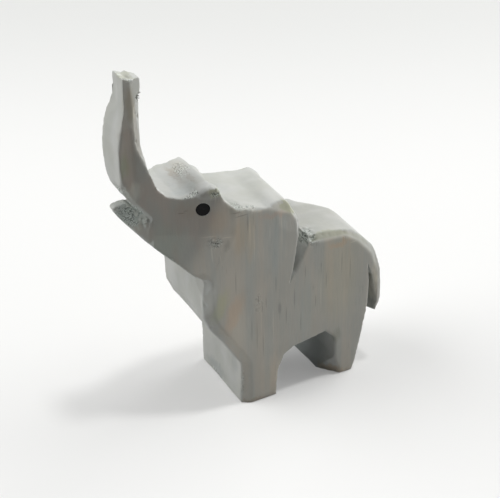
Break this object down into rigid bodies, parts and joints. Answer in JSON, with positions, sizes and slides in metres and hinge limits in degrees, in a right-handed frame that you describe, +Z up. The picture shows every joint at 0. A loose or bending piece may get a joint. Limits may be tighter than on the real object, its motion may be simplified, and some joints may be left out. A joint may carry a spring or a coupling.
{
  "type": "carved wooden elephant",
  "caption": "Small solid wooden elephant with a raised trunk, sawn from one board, knife-finished and stained grey, with inlaid black eye pegs.",
  "frame": {"origin": "on the floor under the middle of the figure: the centre of its box in X and Y, at the soles", "axes": "the elephant faces -X, its left flank is -Y, +Z is up; the board's thickness runs along Y"},
  "size_m": [0.0816, 0.028, 0.1096],
  "materials": {
    "stained_wood": "thin grey stain over close-grained wood, dry and matte",
    "black_peg": "black dowel end, cut flush and smooth"
  },
  "bodies": {
    "root": {"carved_body": "stained_wood", "eye_peg_left": "black_peg", "eye_peg_right": "black_peg"}
  },
  "joints": []
}
